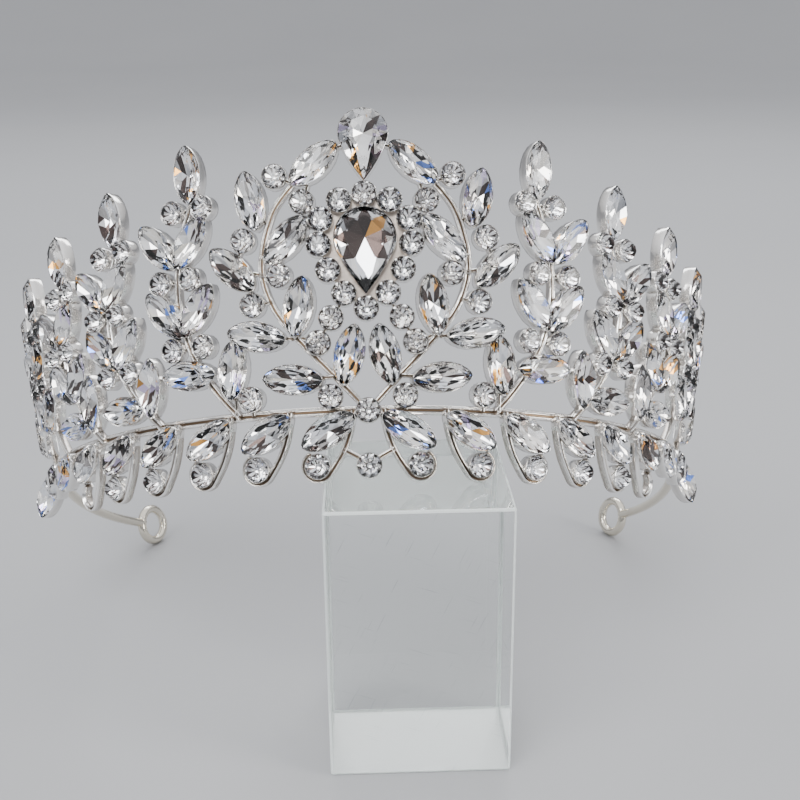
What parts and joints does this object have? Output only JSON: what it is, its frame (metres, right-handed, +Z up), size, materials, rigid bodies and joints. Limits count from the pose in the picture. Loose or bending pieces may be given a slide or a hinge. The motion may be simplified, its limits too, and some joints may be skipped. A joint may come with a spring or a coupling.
{
  "type": "pageant crown on a glass display block",
  "caption": "Tall open-backed pageant crown of silver-plated leaf sprays and a heart, set with clear cut stones, its front edge resting on a clear glass block.",
  "frame": {"origin": "middle of the glass block's base, which lies 10 mm to the right of the crown's own middle", "axes": "+Z up; the crown's front faces -Y; +X to the right as seen from the front"},
  "size_m": [0.1876, 0.1237, 0.1407],
  "materials": {
    "silver_plate": "bright silver plate on cast alloy",
    "clear_crystal": "clear cut crystal with a mirror back",
    "block_glass": "clear polished block"
  },
  "bodies": {
    "root": {"glass_block": "block_glass", "crown_frame": "silver_plate", "top_pear_stone": "clear_crystal", "heart_pear_stone": "clear_crystal", "halo_stones": "clear_crystal", "heart_round_stones": "clear_crystal", "band_leaf_stones": "clear_crystal", "band_round_stones": "clear_crystal", "heart_leaf_stone_left_1": "clear_crystal", "heart_leaf_stone_left_2": "clear_crystal", "heart_leaf_stone_left_3": "clear_crystal", "heart_leaf_stone_left_4": "clear_crystal", "heart_leaf_stone_left_5": "clear_crystal", "heart_leaf_stone_left_6": "clear_crystal", "heart_leaf_stone_left_7": "clear_crystal", "heart_leaf_stone_left_8": "clear_crystal", "heart_leaf_stone_left_9": "clear_crystal", "heart_leaf_stone_right_1": "clear_crystal", "heart_leaf_stone_right_2": "clear_crystal", "heart_leaf_stone_right_3": "clear_crystal", "heart_leaf_stone_right_4": "clear_crystal", "heart_leaf_stone_right_5": "clear_crystal", "heart_leaf_stone_right_6": "clear_crystal", "heart_leaf_stone_right_7": "clear_crystal", "heart_leaf_stone_right_8": "clear_crystal", "heart_leaf_stone_right_9": "clear_crystal", "sprig_tip_stone_left_1": "clear_crystal", "sprig_tip_stone_left_2": "clear_crystal", "sprig_tip_stone_left_3": "clear_crystal", "sprig_tip_stone_left_4": "clear_crystal", "sprig_tip_stone_left_5": "clear_crystal", "sprig_tip_stone_right_1": "clear_crystal", "sprig_tip_stone_right_2": "clear_crystal", "sprig_tip_stone_right_3": "clear_crystal", "sprig_tip_stone_right_4": "clear_crystal", "sprig_tip_stone_right_5": "clear_crystal", "sprig_stones_left_1": "clear_crystal", "sprig_stones_left_2": "clear_crystal", "sprig_stones_left_3": "clear_crystal", "sprig_stones_left_4": "clear_crystal", "sprig_stones_left_5": "clear_crystal", "sprig_stones_right_1": "clear_crystal", "sprig_stones_right_2": "clear_crystal", "sprig_stones_right_3": "clear_crystal", "sprig_stones_right_4": "clear_crystal", "sprig_stones_right_5": "clear_crystal"}
  },
  "joints": []
}
